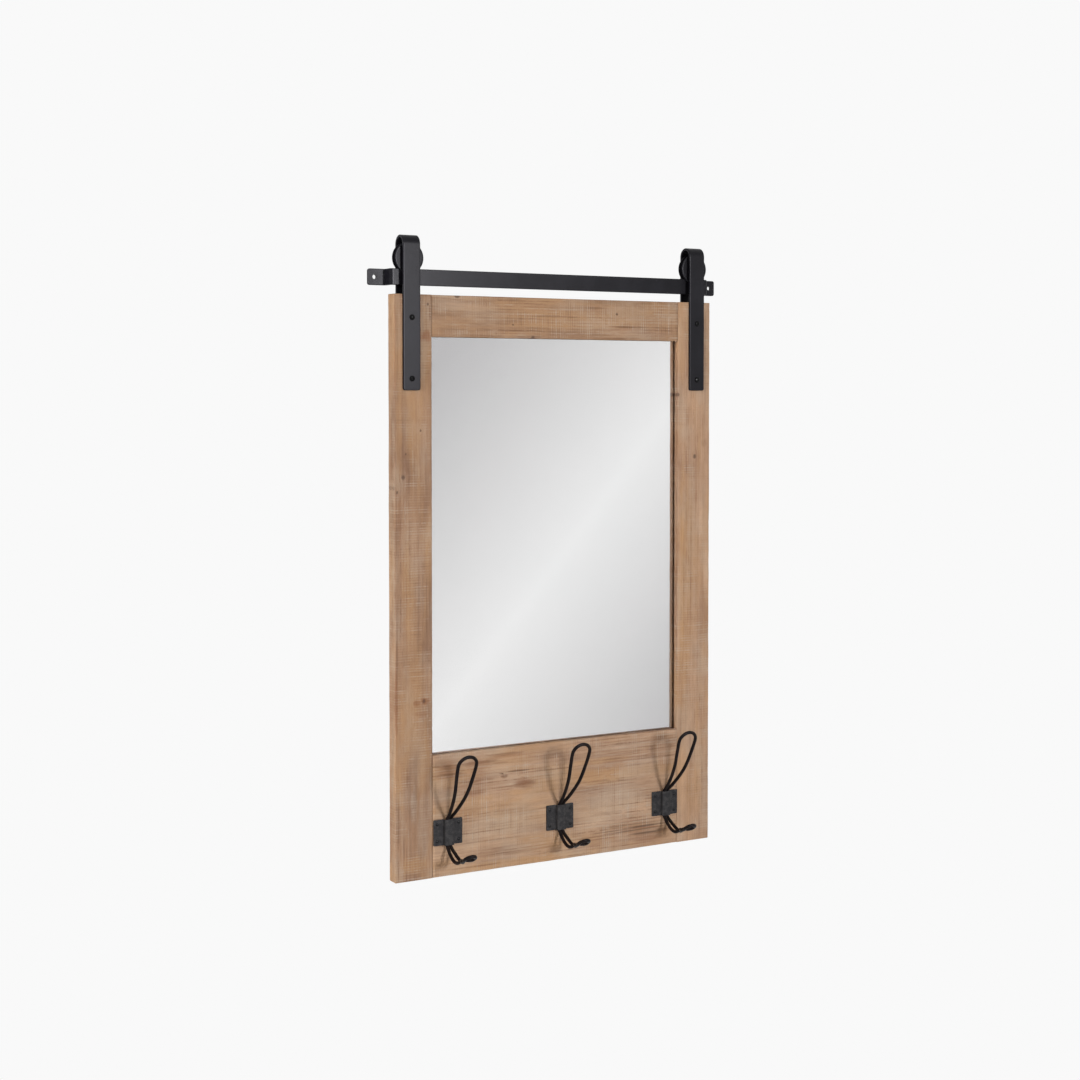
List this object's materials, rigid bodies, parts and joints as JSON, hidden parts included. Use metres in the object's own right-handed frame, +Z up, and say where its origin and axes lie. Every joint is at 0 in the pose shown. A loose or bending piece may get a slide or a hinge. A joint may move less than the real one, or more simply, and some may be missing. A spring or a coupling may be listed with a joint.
{
  "type": "wall mirror with hooks on a rolling rail",
  "caption": "Wall mirror in a frame of rough-sawn boards, hung by strap-wrapped grooved wheels from a flat black rail, with double wire hooks along its lower board",
  "frame": {"origin": "on the wall plane, midway between the two wall holes of the rail", "axes": "+X to the viewer's right along the rail, +Y into the wall, +Z up; the front of the mirror faces -Y"},
  "size_m": [0.559, 0.1055, 0.867],
  "materials": {
    "black_powder_coat": "satin black powder coat, slightly worn at the edges",
    "dark_iron": "dark forged iron, mottled and half matt",
    "wire_iron": "near-black iron wire with a brown tinge, half gloss",
    "sawn_wood": "rough-sawn boards, warm brown, with grey saw marks and knots",
    "dowel_wood": "plain planed beech",
    "silvered_glass": "clear flat mirror glass with ground edges",
    "fibre_board": "matt brown fibre board",
    "zinc_steel": "dull zinc-plated steel",
    "black_rubber": "matt black rubber"
  },
  "bodies": {
    "rail": {"rail": "black_powder_coat"},
    "frame": {"left_stile": "sawn_wood", "right_stile": "sawn_wood", "top_board": "sawn_wood", "bottom_board": "sawn_wood", "frame_dowels": "dowel_wood", "mirror_glass": "silvered_glass", "backing_board": "fibre_board", "retainer_clips": "zinc_steel", "clip_screws": "zinc_steel", "wall_bumpers": "black_rubber", "left_strap": "black_powder_coat", "right_strap": "black_powder_coat", "left_strap_fixings": "dark_iron", "right_strap_fixings": "dark_iron", "left_axle": "black_powder_coat", "right_axle": "black_powder_coat", "left_wheel_spacers": "dark_iron", "right_wheel_spacers": "dark_iron", "left_hook_plate": "dark_iron", "middle_hook_plate": "dark_iron", "right_hook_plate": "dark_iron", "left_hook_wire": "wire_iron", "middle_hook_wire": "wire_iron", "right_hook_wire": "wire_iron", "left_hook_nails": "dark_iron", "middle_hook_nails": "dark_iron", "right_hook_nails": "dark_iron"},
    "left_wheel": {"left_wheel": "black_powder_coat"},
    "right_wheel": {"right_wheel": "black_powder_coat"}
  },
  "joints": [
    {"name": "frame_slide", "type": "slide", "parent": "rail", "child": "frame", "axis": [1, 0, 0], "range_m": [-0.006, 0.006]},
    {"name": "left_wheel_spin", "type": "hinge", "parent": "frame", "child": "left_wheel", "pos_m": [-0.229, -0.0205, 0.0255], "axis": [0, 1, 0], "range_deg": [-24, 24]},
    {"name": "right_wheel_spin", "type": "hinge", "parent": "frame", "child": "right_wheel", "pos_m": [0.229, -0.0205, 0.0255], "axis": [0, 1, 0], "range_deg": [-24, 24]}
  ],
  "couplings": [
    {"joint": "left_wheel_spin", "follows": "frame_slide", "rad_per_m": 68.966},
    {"joint": "right_wheel_spin", "follows": "frame_slide", "rad_per_m": 68.966}
  ]
}
